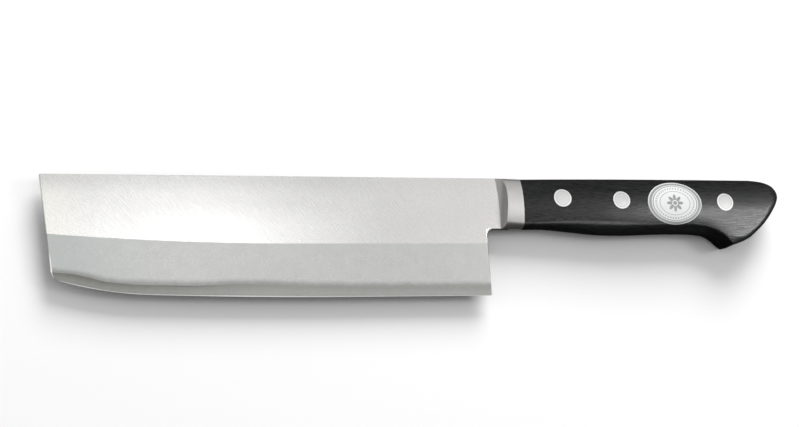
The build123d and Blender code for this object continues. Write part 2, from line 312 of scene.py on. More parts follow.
class StageSettings(bpy.types.PropertyGroup):
    """Powers of the softboxes, strength of the sky and the camera's lens."""

    key_power: power("Key", "Softbox over the knife's back, which throws the shadow", 16.0)
    strip_power: power("Strip", "Small softbox overhead", 0.135)
    sheen_power: power("Sheen", "Small softbox that the handle's rear mirrors", 3.0)
    belly_power: power("Belly", "Small softbox that the rounding along the handle's belly mirrors", 1.65)
    upper_power: power("Upper", "Small softbox that the upper rear of the handle mirrors", 0.45)
    fittings_power: power("Fittings", "Softbox that the bolster and the rivets mirror", 0.8)
    right_power: power("Right", "Small softbox beyond the butt", 0.7)
    side_power: power("Side", "Softbox beyond the tip", 0.9)
    sky: FloatProperty(name="Sky", description="Strength of the surrounding light overhead", default=0.90)
    low_sky: FloatProperty(name="Low sky", description="Strength of that light near the floor", default=0.27)
    lens: FloatProperty(name="Lens", description="Focal length for a sensor 36 mm wide", default=81.0,
                        unit="CAMERA")


# The wavy line where the core comes out: places as shares of the blade's length from the tip, and the bare
# height there as shares of the exposure
CORE_PLACE_SHARES = (0.0, 0.02, 0.07, 0.10, 0.125, 0.165, 0.25, 0.33, 0.42, 0.51, 0.60, 0.69, 0.78, 0.9, 1.0)
CORE_WAVE_SHARES = (0.54, 0.64, 1.04, 1.05, 0.95, 0.95, 1.01, 1.03, 1.29, 1.24, 1.10, 1.0, 0.98, 0.97, 0.97)

# Rounded rims of the outer faces, and the shares of a soft layer's and of the core's half thickness that they
# may take at most
SPINE_RIM = 0.00005
TIP_RIM = 0.00022
HEEL_RIM = 0.00038
LAYER_RIM_SHARE = 0.8
CORE_RIM_SHARE = 0.4

# Stretch at both ends of the blade where its points lie close together
END_STRETCH = 0.00045

# The blade's flat coordinates run from the tip end, in tenths of a metre
FLAT_SCALE = 10

# How often a crossing with a slanted end is worked out again, from the depth that came out before
ROUNDS = 12


def edge_line(blade, x):
    """Depth of the cutting edge: straight at the heel, less a shallow arc's rise and a tighter one's."""
    tip = -blade.heel_gap - blade.length
    shallow = arc_rise(-blade.heel_gap - blade.edge_straight - x, blade.edge_radius)
    return blade.height - shallow - arc_rise(tip + blade.sweep_length - x, blade.sweep_radius)


def grind_line(blade, x):
    """Depth of the line where the wide bevel begins: straight at the heel, then one shallow arc."""
    return blade.grind_depth - arc_rise(-blade.heel_gap - blade.grind_straight - x, blade.grind_radius)


def core_line(blade, x):
    """Depth of the wavy line where the core comes out: the edge's less the exposure times a smooth wave."""
    share = (x + blade.heel_gap + blade.length) / blade.length
    return edge_line(blade, x) - blade.exposure * smooth_table(share, CORE_PLACE_SHARES, CORE_WAVE_SHARES)


def tip_side(blade, depth):
    """Place of the slanted tip end at a depth."""
    return -blade.heel_gap - blade.length + depth * math.tan(blade.tip_slant)


def heel_side(blade, depth):
    """Place of the slanted heel at a depth."""
    return -blade.heel_gap - (blade.height - depth) * math.tan(blade.heel_slant)


def blade_line(blade, depth_of, shares):
    """A line along the blade, from where it meets the tip end to where it meets the heel, found in rounds."""
    left = right = depth_of(0.0)
    for _ in range(ROUNDS):
        left, right = depth_of(tip_side(blade, left)), depth_of(heel_side(blade, right))
    x = tip_side(blade, left) + shares * (heel_side(blade, right) - tip_side(blade, left))
    return np.stack([x, depth_of(x) + 0 * x], axis=-1)


def resample(line, shares):
    """Points of a polyline at shares of its length."""
    run = np.concatenate([[0], np.cumsum(np.linalg.norm(np.diff(line, axis=0), axis=1))])
    return np.stack([np.interp(shares * run[-1], run, line[:, i]) for i in range(2)], axis=-1)


def tip_corner(blade):
    """The rounded corner, two halves of a cubic Bezier between the tip end and the edge, tangent to both."""
    depth = blade.height
    for _ in range(ROUNDS):
        depth = float(edge_line(blade, tip_side(blade, depth)))
    corner = np.array([tip_side(blade, depth), depth])
    drop = edge_line(blade, corner[0] + blade.tip_round) - edge_line(blade, corner[0])
    slope = float(drop) / blade.tip_round
    up = np.array([-math.sin(blade.tip_slant), -math.cos(blade.tip_slant)])
    along = np.array([1.0, slope]) / math.hypot(1.0, slope)
    opening = math.acos(float(up @ along))
    reach = blade.tip_round / math.tan(opening / 2)
    start = corner + up * reach
    end = corner + along * reach
    end[1] = float(edge_line(blade, end[0]))
    pull = 4 / 3 * math.tan((math.pi - opening) / 4) * blade.tip_round
    t = np.linspace(0, 1, 41)[:, None]
    near_guides = (1 - t) * (start - up * pull) + t * (end - along * pull)
    arc = (1 - t) ** 3 * start + 3 * t * (1 - t) * near_guides + t ** 3 * end
    return arc[:21], arc[20:]


def neck_distance(blade, x, depth):
    """Distance to the outline at the heel, the fillet and the neck's lower side."""
    low = blade.neck_depth + blade.neck_fillet
    middle = heel_side(blade, low) + blade.neck_fillet
    to_heel = (heel_side(blade, depth) - x) * math.cos(blade.heel_slant)
    to_round = np.hypot(x - middle, depth - low) - blade.neck_fillet
    return np.where(depth > low, to_heel, np.where(x > middle, blade.neck_depth - depth, to_round))


def blade_patches(blade, bolster, handle):
    """Flat grids of the blade between its lines: upper and lower flat, wide bevel, bare core and neck. Each
    is a Coons patch, and with it come the face's height, the band's number with the share across it, and the
    borders that are outside."""
    u = rim_steps(END_STRETCH, blade.length, count=280)
    low = blade.neck_depth + blade.neck_fillet
    split = low / float(grind_line(blade, 0.0))
    # Lines along the blade, from the spine down to the edge
    spine = blade_line(blade, lambda x: 0.0 * x, u)
    parting = blade_line(blade, lambda x: grind_line(blade, x) * split, u)
    shoulder = blade_line(blade, lambda x: grind_line(blade, x), u)
    wave = blade_line(blade, lambda x: core_line(blade, x), u)
    first, last = tip_corner(blade)
    x = np.linspace(last[-1, 0], -blade.heel_gap, 600)[1:]
    edge = resample(np.concatenate([last, np.stack([x, edge_line(blade, x)], axis=-1)]), u)
    half, middle = blade.thickness / 2, blade.core / 2
    patches = []

    def add(top, bottom, u, v, height, band, outside, left=None):
        left = ruled(top[0], bottom[0], v) if left is None else left
        grid = coons_patch(top, bottom, left, ruled(top[-1], bottom[-1], v), u, v)
        flat = 0 * grid[..., 0]
        height = (height + 0 * v)[:, None] + flat
        patches.append((grid, height, band + v[:, None] + flat, outside))

    # The bands between them
    upper_v = rim_steps(HEEL_RIM, low, count=16)
    add(spine, parting, u, upper_v, half, 0, "top left")
    add(parting, shoulder, u, np.linspace(0, 1, 5), half, 1, "left right")
    v = np.linspace(0, 1, 26)
    add(shoulder, wave, u, v, half + (middle - half) * v, 2, "left right")
    honed = 1 - blade.honed / blade.exposure
    v = np.concatenate([np.linspace(0, honed, 9), np.linspace(honed, 1, 4)[1:]])
    fall = np.interp(v, [0, honed, 1], [middle, blade.honed_thickness / 2, blade.edge / 2])
    corner = resample(np.concatenate([wave[:1], first]), v)
    add(wave, edge, u, v, fall, 3, "left right bottom", corner)

    # The neck behind the heel, with its fillet
    turn = np.linspace(0, math.pi / 2, 13)
    radius = blade.neck_fillet
    centre = heel_side(blade, low) + radius
    fillet = np.stack([centre - radius * np.cos(turn), low - radius * np.sin(turn)], axis=-1)
    run = np.linspace(centre, bolster.stub, 9)[1:]
    bottom = np.concatenate([fillet, np.stack([run, 0 * run + blade.neck_depth], axis=-1)])
    x = np.linspace(spine[-1, 0], bolster.stub, len(bottom))
    x[np.argmin(np.abs(x))] = 0.0
    top = np.stack([x, np.maximum(x, 0) * handle.back_drop / bolster.length], axis=-1)
    add(top, bottom, np.arange(len(bottom)) / (len(bottom) - 1), upper_v, half, 0, "top right bottom")
    return patches


def blade_relief(blade, grid):
    """How far the outer face lies under its patch: a quarter-round at the spine, the tip end and the heel."""
    x, depth = grid[..., 0], grid[..., 1]
    middle = -blade.heel_gap - blade.length / 2
    ease = rim_ease(depth, SPINE_RIM) * (x < 0)
    ease = ease + rim_ease(x - x[:, :1], TIP_RIM) * (x < middle)
    return ease + rim_ease(neck_distance(blade, x, depth), HEEL_RIM) * (x > middle)


def layer_sheets(patches, uppers, lowers):
    """Both faces of a layer and the walls between them along its outside borders. The flat coordinates are
    the distance from the tip end and the band with the share across it."""
    borders = {"top": np.s_[0, :], "bottom": np.s_[-1, :], "left": np.s_[:, 0], "right": np.s_[:, -1]}
    sheets = []
    for (grid, _, across, outside), upper, lower in zip(patches, uppers, lowers):
        x, depth = grid[..., 0], grid[..., 1]
        uv = np.stack([(x - x[:, :1]) * FLAT_SCALE, across], axis=-1)
        band = int(across[1, 0])
        top, low = row_points(x, depth, upper), row_points(x, depth, lower)
        sheets += [sheet(top, band, uv), sheet(low, band + 10, uv)]
        for pick in (borders[side] for side in outside.split()):
            sheets.append(sheet(np.stack([top[pick], low[pick]]), 20, np.stack([uv[pick], uv[pick]])))
    return sheets


def blade_layers(blade, bolster, handle):
    """The two soft layers, each between the core and the outer face, and the core with its own bevels."""
    patches = blade_patches(blade, bolster, handle)
    middle = blade.core / 2
    soft = [patch for patch in patches if patch[2][0, 0] < 3]
    pieces = []
    for name, sign in (("blade_side_left", 1), ("blade_side_right", -1)):
        uppers, lowers = [], []
        for grid, height, _, _ in soft:
            ease = np.minimum(blade_relief(blade, grid), LAYER_RIM_SHARE * (height - middle))
            uppers.append(sign * (height - ease))
            lowers.append(sign * middle + 0 * height)
        pieces.append(closed_piece(name, layer_sheets(soft, uppers, lowers)))
    heights = []
    for grid, height, across, _ in patches:
        face = np.minimum(height, middle)
        heights.append(face - (across >= 3) * np.minimum(blade_relief(blade, grid), CORE_RIM_SHARE * face))
    pieces.append(closed_piece("blade_core", layer_sheets(patches, heights, [-height for height in heights])))
    return pieces


# The handle's section at thirteen places. The first eight lie along the grip, as shares of its length, with
# the belly's depth as shares of the grip's. The last five lie along the hook, as shares of its reach and of
# its drop below the grip. The other tables are shares of the size that their name gives.
PLACE_SHARES = (0.0, 0.121, 0.238, 0.357, 0.474, 0.592, 0.709, 0.828)
HOOK_SHARES = (-0.502, -0.317, -0.126, 0.065, 1.050)
BELLY_SHARES = (0.900, 0.893, 0.942, 0.988, 1.000, 0.987, 0.975, 0.983)
HOOK_BELLY_SHARES = (-0.010, 0.138, 0.495, 1.320, 1.340)
BULGE_SHARES = (0.559, 0.300, 0.641, 0.964, 1.000, 0.946, 1.024, 1.146, 1.008, 0.609, 0.153, 0.072, 0.072)
HALF_SHARES = (0.667, 0.765, 0.855, 0.935, 0.980, 1.000, 1.000, 0.993, 0.987, 0.980, 0.973, 0.967, 0.920)
EDGE_HALF_SHARES = (0.820, 0.860, 0.890, 0.895, 0.895, 0.900, 0.907, 0.913, 0.920, 0.930, 0.940, 0.940, 0.940)
BACK_SHARES = (0.450, 0.620, 0.760, 0.870, 0.940, 0.980, 1.000, 1.020, 1.020, 1.020, 1.020, 1.020, 1.000)
CROWN_SHARES = (0.930, 0.930, 0.950, 0.980, 1.000, 1.000, 1.000, 1.010, 1.020, 1.030, 1.040, 1.050, 1.050)
ROUND_SHARES = (0.300, 0.700, 1.200, 1.350, 1.150, 0.800, 0.480, 0.360, 0.340, 0.340, 0.340, 0.340, 0.340)

# The butt's outline from the hook's point round to the back, as shares of the hook's reach and depth
BUTT_REACH_SHARES = (1.0, 0.756, 0.486, 0.282, 0.128, 0.040, 0.0, 0.045, 0.150, 0.344, 0.547, 0.680)
BUTT_DEPTH_SHARES = (1.0, 0.931, 0.785, 0.632, 0.472, 0.355, 0.250, 0.152, 0.086, 0.038, 0.015, -0.010)

# How far the handle's back lies under the tang's, and how deep the bolster sits in the neck's sides
TANG_STAND = 0.00002
SEAT_DEPTH = 0.0002

# Height over its seat from which the cove's rim is fully rounded
COVE_RIM_START = 0.0008

# The butt's outline is looked for from this share of the hook's reach on. Its rounding starts this far below
# the back, grows over this stretch, and sinks by this share of its length.
BUTT_SEARCH_SHARE = 1.4
BUTT_CLEAR = 0.0008
BUTT_FADE = 0.004
BUTT_SINK_SHARE = 0.4


class Profile(SimpleNamespace):
    """Cross-section of the handle or bolster at many places at once. Each value is a smooth table along the
    knife: top is the back's depth, half the largest half thickness, edge_half and back those at belly and
    back. crown, corner and belly are depths, and rounding and back_round are what the corners take off."""

    def side(self, depth):
        """Half thickness at a depth and its slope: an arc above the crown and one below it, upright there."""
        over = depth < self.crown
        run = np.where(over, self.crown - self.top, self.corner - self.crown)
        bulge = self.half - np.where(over, self.back, self.edge_half)
        radius = (run * run + bulge * bulge) / (2 * bulge)
        off = depth - self.crown
        reach = np.sqrt(np.maximum(radius * radius - off * off, 1e-12))
        return self.half - radius + reach, -off / reach

    def underside(self, z):
        """Depth of the belly at a distance from the middle plane and its slope: one arc across the belly."""
        bulge = np.maximum(self.belly - self.corner, 1e-6)
        radius = (self.edge_half ** 2 + bulge * bulge) / (2 * bulge)
        reach = np.sqrt(np.maximum(radius * radius - z * z, 1e-12))
        return self.belly - radius + reach, -z / reach

    def belly_corner(self):
        """Start, guide and end of the rounding from side to belly, the guide where their tangents meet."""
        depth = self.corner - self.rounding
        z, side_slope = self.side(depth)
        foot_z = self.edge_half - self.rounding
        foot, slope = self.underside(foot_z)
        run = (foot - depth + slope * (z - foot_z)) / (1 - side_slope * slope)
        return (z, depth), (z + side_slope * run, depth + run), (foot_z, foot)

    def points(self, steps, inner=0.0):
        """Height and depth at steps round the half: 0-1 the flat back from the inner height out, 1-2 its
        rounded corner, 2-3 the side, 3-4 the belly's corner, 4-5 the belly, back to the inner height."""
        t = np.clip(steps, 0, 5) % 1.0
        t = np.where(steps >= 5, 1.0, t)
        shoulder = self.top + self.back_round
        side_z, side_slope = self.side(shoulder)
        guide = side_z - side_slope * self.back_round
        flat = guide - self.back_round
        low, low_guide, foot = self.belly_corner()
        depth = shoulder + t * (low[1] - shoulder)
        under_z = foot[0] + t * (inner - foot[0])
        heights = [inner + t * (flat - inner),
                   bezier(t, flat, guide, side_z),
                   self.side(depth)[0],
                   bezier(t, low[0], low_guide[0], foot[0]),
                   under_z]
        depths = [self.top + 0 * t,
                  bezier(t, self.top, self.top, shoulder),
                  depth,
                  bezier(t, low[1], low_guide[1], foot[1]),
                  self.underside(under_z)[0]]
        tests = [steps < 1, steps < 2, steps < 3, steps < 4, steps <= 5]
        return np.select(tests, heights), np.select(tests, depths)

    def height(self, depth):
        """Height of the side over the middle plane at a depth, on the rounded belly corner too."""
        low, guide, foot = self.belly_corner()
        a = low[1] - 2 * guide[1] + foot[1]
        b = 2 * (guide[1] - low[1])
        c = low[1] - depth
        root = np.sqrt(np.maximum(b * b - 4 * a * c, 0))
        t = np.clip(-2 * c / (b + root), 0, 1)
        return np.where(depth > low[1], bezier(t, low[0], guide[0], foot[0]), self.side(depth)[0])


def section_steps(side, corner, belly):
    """Steps round half a section: the flat back, its corner, the side, the belly's corner and the belly."""
    counts = (7, 9, side, corner, belly)
    parts = [np.linspace(start, start + 1, count)[:-1] for start, count in enumerate(counts)]
    return np.append(np.concatenate(parts), len(counts))


def handle_profile(handle, bolster, x, stand=TANG_STAND):
    """Cross-sections of the handle at places behind the bolster, a hair under the tang's back."""
    hook_x = bolster.length + handle.length - handle.hook_reach
    places = np.concatenate([bolster.length + np.array(PLACE_SHARES) * (hook_x - bolster.length),
                             hook_x + np.array(HOOK_SHARES) * handle.hook_reach])
    drop = handle.hook_depth - handle.depth
    bellies = np.concatenate([np.array(BELLY_SHARES) * handle.depth,
                              handle.depth + np.array(HOOK_BELLY_SHARES) * drop])

    def table(values):
        return smooth_table(x, places, values)

    half = np.array(HALF_SHARES) * handle.half
    return Profile(top=handle.back_drop + stand + 0 * x,
                   half=table(half),
                   edge_half=table(half * EDGE_HALF_SHARES),
                   back=table(np.array(BACK_SHARES) * handle.back_half),
                   crown=table(np.array(CROWN_SHARES) * handle.crown),
                   corner=table(bellies - np.array(BULGE_SHARES) * handle.bulge),
                   belly=table(bellies),
                   rounding=table(np.array(ROUND_SHARES) * handle.belly_round),
                   back_round=handle.back_round)


def bolster_profile(bolster, handle, x):
    """Cross-sections of the bolster: the joint's, but the back rises to the spine and the bulge grows to the
    front bulge at the crease, both along straight lines."""
    joint = handle_profile(handle, bolster, np.array(bolster.length), stand=0.0)
    share = np.clip(x / bolster.length, 0, 1)
    corner = (1 - share) * (joint.belly - bolster.front_bulge) + share * joint.corner
    values = {name: value + 0 * x for name, value in vars(joint).items()}
    return Profile(**values | {"top": handle.back_drop * share, "corner": corner})


def cove_face(bolster, blade, height, depth):
    """Place of the scooped front at a height and depth: the far side of a leaning round bar."""
    top = np.array([-bolster.top_setback, 0.0, bolster.top_rise])
    foot = np.array([-bolster.low_setback, blade.neck_depth, bolster.low_rise])
    lean = (foot - top) / np.linalg.norm(foot - top)
    off_depth, off_height = depth - top[1], height - top[2]
    base = off_depth * lean[1] + off_height * lean[2]
    a = 1 - lean[0] ** 2
    half_b = -base * lean[0]
    c = off_depth ** 2 + off_height ** 2 - base ** 2 - bolster.cove_radius ** 2
    place = top[0] + (-half_b + np.sqrt(np.maximum(half_b ** 2 - a * c, 0))) / a
    return np.maximum(place, 0.0)


def bolster_halves(bolster, handle, blade):
    """Each half: the scooped front from the crease out to its rim, a small rounding, then the outer face to
    the joint, the flat end there and the flat seat on the neck. The rim is where the outer face meets the
    scoop. Scoop and end are ruled outwards, from the seat's borders to the lines of the outer face."""
    steps = section_steps(side=61, corner=11, belly=13)
    inner = blade.thickness / 2 - SEAT_DEPTH

    def outline(x):
        return bolster_profile(bolster, handle, x).points(steps + 0 * x, inner)

    # The rim, and how much of it the rounding takes
    rim_x = halve(0 * steps, 0 * steps + bolster.length, lambda x: x > cove_face(bolster, blade, *outline(x)))
    rim_z, rim_depth = outline(rim_x)
    soft = bolster.rim * np.clip(steps - 1, 0, 1) * np.clip((rim_z - inner) / COVE_RIM_START, 0, 1)
    out_x = rim_x + soft
    flat, rest = steps <= 1, np.flatnonzero(steps >= 1)
    stop = 1 - soft / np.maximum(rim_z - inner, soft + 1e-9)
    # The scooped front
    w = ((rim_z[flat] - inner) / (rim_z[flat][-1] - inner))[:, None]
    end_z = inner + stop * (rim_z - inner)
    crease_d = np.clip(rim_depth, rim_depth[0], rim_depth[-1])
    end_d = crease_d + stop * (rim_depth - crease_d)
    cove_z = inner + w * (end_z - inner)[rest]
    cove_d = crease_d[rest] + w * (end_d - crease_d)[rest]
    cove_x = cove_face(bolster, blade, cove_z, cove_d)
    cove_x[:, 0], cove_z[:, 0], cove_d[:, 0] = rim_x[flat], rim_z[flat], rim_depth[flat]
    end_x = np.where(steps <= 1, rim_x, cove_face(bolster, blade, end_z, end_d))
    end_x[rest] = cove_x[-1]
    # The rounding and the outer face behind it
    t = np.linspace(0, 1, 6)[:-1, None]
    out_z, out_d = outline(out_x)
    w = np.linspace(0, 1, 13)[:, None]
    side_x = out_x + w * (bolster.length - out_x)
    side_z, side_d = outline(side_x)
    x = np.concatenate([bezier(t, end_x, rim_x, out_x), side_x])
    z = np.concatenate([bezier(t, end_z, rim_z, out_z), side_z])
    d = np.concatenate([bezier(t, end_d, rim_depth, out_d), side_d])
    # The flat end at the joint and the seat on the neck
    joint_z, joint_d = side_z[-1], side_d[-1]
    shares = ((joint_z[flat] - inner) / (joint_z[flat][-1] - inner))[::-1, None]
    low_d = np.clip(joint_d, joint_d[0], joint_d[-1])[rest]
    cap_z = inner + shares * (joint_z[rest] - inner)
    cap_d = low_d + shares * (joint_d[rest] - low_d)
    inner_x = cove_x[0] + w * (bolster.length - cove_x[0])
    inner_d = cove_d[0] + w * (low_d - cove_d[0])
    inner_d[:, 0], inner_d[:, -1] = side_d[:, 0], side_d[:, -1]
    scoop_mark = np.full(cove_x.shape + (2,), (2.0, 0.0))
    pieces = []
    for name, sign in (("bolster_half_left", 1), ("bolster_half_right", -1)):
        sheets = [sheet(row_points(x, d, sign * z)),
                  sheet(row_points(cove_x, cove_d, sign * cove_z), 0, scoop_mark),
                  sheet(row_points(inner_x, inner_d, sign * inner), 1),
                  sheet(row_points(bolster.length, cap_d, sign * cap_z), 2)]
        pieces.append(closed_piece(name, sheets))
    return pieces


def butt_place(handle, bolster, depth):
    """Place of the butt's outline at a depth: a smooth table from the back down to the hook's point."""
    butt_x = bolster.length + handle.length
    depths = np.array(BUTT_DEPTH_SHARES[::-1]) * handle.hook_depth
    places = butt_x - np.array(BUTT_REACH_SHARES[::-1]) * handle.hook_reach
    return smooth_table(depth, depths, places)


def handle_grip(handle, bolster):
    """The handle: its cross-section carried from the joint to the butt's outline, each line along it ending
    where it meets that outline, then a rounding and the butt's face, straight across. Both ends are shut."""
    steps = section_steps(side=49, corner=17, belly=15)
    side, flat = np.flatnonzero(steps >= 1), steps <= 1
    butt_x = 0 * steps + bolster.length + handle.length

    def outline(x):
        return handle_profile(handle, bolster, x).points(steps + 0 * x)

    # Where each line along the handle meets the butt's outline, and how much the rounding takes
    near = butt_x - handle.hook_reach * BUTT_SEARCH_SHARE
    far = halve(near, butt_x, lambda x: x > butt_place(handle, bolster, outline(x)[1]))
    end_z, end_d = outline(far)
    below = np.clip((end_d - handle.back_drop - BUTT_CLEAR) / BUTT_FADE, 0, 1)
    fade = below * np.clip(end_z / BUTT_FADE, 0, 1)
    soft = handle.butt_round * fade
    sink = BUTT_SINK_SHARE * soft
    sunk_z = end_z * (1 - sink / np.maximum(end_z, sink + 1e-9))
    # The long faces, then the rounding at their end
    w = np.linspace(0, 1, 170)[:, None]
    x = bolster.length + w * (far - soft - bolster.length)
    z, d = outline(x)
    t = np.linspace(0, 1, 7)[1:-1, None]
    rim_x = np.concatenate([x[-1:], bezier(t, x[-1], far, far), far[None]])
    rim_z = np.concatenate([z[-1:], bezier(t, z[-1], end_z, sunk_z), sunk_z[None]])
    rim_d = np.concatenate([d[-1:], bezier(t, d[-1], end_d, end_d), end_d[None]])

    def across(row):
        """Shares from the side in to the middle plane, as the points of the flat back lie."""
        return (z[row][flat][::-1] / z[row][flat][-1])[:, None]

    sheets = []
    for sign in (1, -1):
        sheets.append(sheet(row_points(x, d, sign * z)))
        sheets.append(sheet(row_points(rim_x[:, side], rim_d[:, side], sign * rim_z[:, side])))
        sheets.append(sheet(row_points(far[side], end_d[side], sign * across(-1) * sunk_z[side])))
        sheets.append(sheet(row_points(bolster.length, d[0][side], sign * across(0) * z[0][side]), 1))
    return closed_piece("handle_grip", sheets, sharp_angle=40.0)


# Places of the rivets: from the bolster's joint and below the spine
RIVET_PLACES = {"front": (0.0154, 0.0081), "middle": (0.0389, 0.00895), "rear": (0.0823, 0.0095)}

# Depth and half width of the faint groove where a rivet's stud and tube meet, the step between the rings
# beside it, and what the tube stays short of the other head
GROOVE_DEPTH = 0.00003
GROOVE_HALF = 0.00006
RING_STEP = 0.00005
TUBE_GAP = 0.0003


def turned_sheet(centre, radii, heights):
    """A form turned about an upright axis: rings of the radii at the heights, which may vary round the ring.
    Both flat coordinates mark it: X is 0 and Y is 2 and the share of the largest radius."""
    turn = np.linspace(0, 2 * math.pi, 97)
    turn[-1] = 0.0
    radii = radii[:, None]
    x = centre[0] + radii * np.cos(turn)
    d = centre[1] + radii * np.sin(turn)
    share = 2 + radii / radii.max() + 0 * x
    return sheet(row_points(x, d, heights(x, d, radii)), 0, np.stack([0 * share, share], axis=-1))


def rivet_pair(rivet, handle, bolster, name, place, depth):
    """A stud with its head on the left and the tube it is driven into, with its head on the right. Each
    head's face follows the handle's side, stands a hair over it and rolls over at its rim. What lies under
    the heads is given by pairs of radius and level."""
    centre = (bolster.length + place, depth)
    seat = float(handle_profile(handle, bolster, np.array(centre[0])).height(np.array(depth))) - rivet.seat
    head, bore, shank = rivet.head / 2, rivet.bore / 2, rivet.shank / 2
    # Rings of a face: its middle, the groove, the rest and the rolled rim
    roll = head - rivet.rim * (1 - np.sin(np.linspace(0, math.pi / 2, 6)))
    groove_rings = bore + RING_STEP * np.array([-1, 0, 1, 3])
    face = np.concatenate([np.linspace(0, bore - 3 * RING_STEP, 5), groove_rings,
                           np.linspace(bore + 6 * RING_STEP, roll[0] - 2 * RING_STEP, 7), roll])
    # What lies under the heads
    end = TUBE_GAP - seat
    kinds = {
        "stud": (1, [(head, seat), (bore, seat), (bore, -seat), (0, -seat)]),
        "tube": (-1, [(head, seat), (shank, seat), (shank, end), (bore, end), (bore, seat), (0, seat)]),
    }
    pieces = []
    for kind, (sign, rings) in kinds.items():
        radii, levels = np.array(rings).T

        def heights(x, d, radius):
            groove = GROOVE_DEPTH * np.exp(-((radius - bore) / GROOVE_HALF) ** 2)
            rows = (handle_profile(handle, bolster, x).height(d) + rivet.proud
                    - rim_ease(head - radius, rivet.rim) - groove)
            rows[len(face):] = levels[:, None]
            return sign * rows

        turned = turned_sheet(centre, np.concatenate([face, radii]), heights)
        pieces.append(closed_piece("rivet_" + kind + "_" + name, [turned], sharp_angle=40.0))
    return pieces


# Rounding of the film's rim, and how deep the film reaches into the wood
FILM_RIM = 0.00009
FILM_BED = 0.00006


def label_film(label, handle, bolster):
    """The oval film: rings from its middle to its rim laid over the handle's side, a film's thickness over it
    with a soft rim, and down into the wood. Its flat coordinates are the place in the oval, -1 to 1."""
    turn = np.linspace(0, 2 * math.pi, 181)
    turn[-1] = 0.0
    rings = np.concatenate([np.linspace(0, 0.96, 40), [0.975, 0.985, 0.993, 1.0]])[:, None]
    x = bolster.length + label.place + rings * label.length / 2 * np.cos(turn)
    d = label.depth + rings * label.height / 2 * np.sin(turn)
    side = handle_profile(handle, bolster, x).height(d)
    over = side + label.thickness - rim_ease((1 - rings) * label.height / 2, FILM_RIM)
    under = side - FILM_BED
    uv = np.stack([rings * np.cos(turn), -rings * np.sin(turn)], axis=-1)
    wall = row_points(x[-1], d[-1], np.stack([over[-1], under[-1]]))
    sheets = [sheet(row_points(x, d, over), 0, uv), sheet(row_points(x, d, under), 1, uv),
              sheet(wall, 0, np.stack([uv[-1], uv[-1]]))]
    return closed_piece("label_film", sheets, sharp_angle=50.0)


class Tree:
    """Short calls for building a node tree."""

    def __init__(self, tree):
        self.tree = tree

    def node(self, kind, inputs=None, **settings):
        """A new node with its settings and what goes into its sockets."""
        node = self.tree.nodes.new(kind)
        for key, value in settings.items():
            setattr(node, key, value)
        for key, value in (inputs or {}).items():
            self.feed(node.inputs[key], value)
        return node

    def feed(self, socket, value):
        """Links an output to a socket or sets the socket's own value."""
        if isinstance(value, bpy.types.NodeSocket):
            self.tree.links.new(value, socket)
        else:
            socket.default_value = value

    def math(self, operation, *values, clamp=False):
        node = self.node("ShaderNodeMath", operation=operation, use_clamp=clamp)
        for socket, value in zip(node.inputs, values):
            self.feed(socket, value)
        return node.outputs[0]

    def plus(self, first, second):
        return self.math("ADD", first, second)

    def minus(self, first, second):
        return self.math("SUBTRACT", first, second)

    def times(self, first, second):
        return self.math("MULTIPLY", first, second)

    def most(self, first, *others):
        """The largest of several values."""
        for other in others:
            first = self.math("MAXIMUM", first, other)
        return first

    def apart_from(self, value, middle):
        """How far a value is from a middle, either way."""
        return self.math("ABSOLUTE", self.minus(value, middle))

    def mix(self, share, first, second):
        """The first colour, and as much of the second as the share says. The node's colours are 6 and 7."""
        return self.node("ShaderNodeMix", {0: share, 6: first, 7: second}, data_type="RGBA").outputs[2]

    def ramp(self, value, low, high, to_low=0.0, to_high=1.0):
        """A soft step from one value to another while the input goes from low to high."""
        inputs = {"Value": value, "From Min": low, "From Max": high, "To Min": to_low, "To Max": to_high}
        return self.node("ShaderNodeMapRange", inputs, interpolation_type="SMOOTHSTEP").outputs[0]

    def noise(self, vector, scale, detail=2.0, roughness=0.5):
        inputs = {"Vector": vector, "Scale": scale, "Detail": detail, "Roughness": roughness}
        return self.node("ShaderNodeTexNoise", inputs).outputs["Fac"]

    def vector(self, operation, inputs):
        return self.node("ShaderNodeVectorMath", inputs, operation=operation).outputs[0]

    def scaled(self, vector, scale):
        """The vector with each part times its own scale."""
        return self.node("ShaderNodeMapping", {"Vector": vector, "Scale": scale}).outputs[0]

    def parts(self, vector):
        """X, Y and Z of a vector."""
        return self.node("ShaderNodeSeparateXYZ", {0: vector}).outputs

    def surface(self):
        """X and Y of the piece's own flat coordinates."""
        return self.parts(self.node("ShaderNodeUVMap", uv_map="surface").outputs[0])

    def group(self, name, **inputs):
        """A shared effect with this material's values."""
        return self.node("ShaderNodeGroup", inputs, node_tree=bpy.data.node_groups[name]).outputs


def new_group(name, inputs, outputs):
    """An empty shader node group with its sockets, each a name, a kind and a default, and its two ends."""
    group = bpy.data.node_groups.new(name, "ShaderNodeTree")
    for label, kind, default in inputs:
        socket = group.interface.new_socket(name=label, in_out="INPUT", socket_type="NodeSocket" + kind)
        if default is not None:
            socket.default_value = default
    for label in outputs:
        group.interface.new_socket(name=label, in_out="OUTPUT", socket_type="NodeSocketFloat")
    tree = Tree(group)
    return tree, tree.node("NodeGroupInput").outputs, tree.node("NodeGroupOutput").inputs


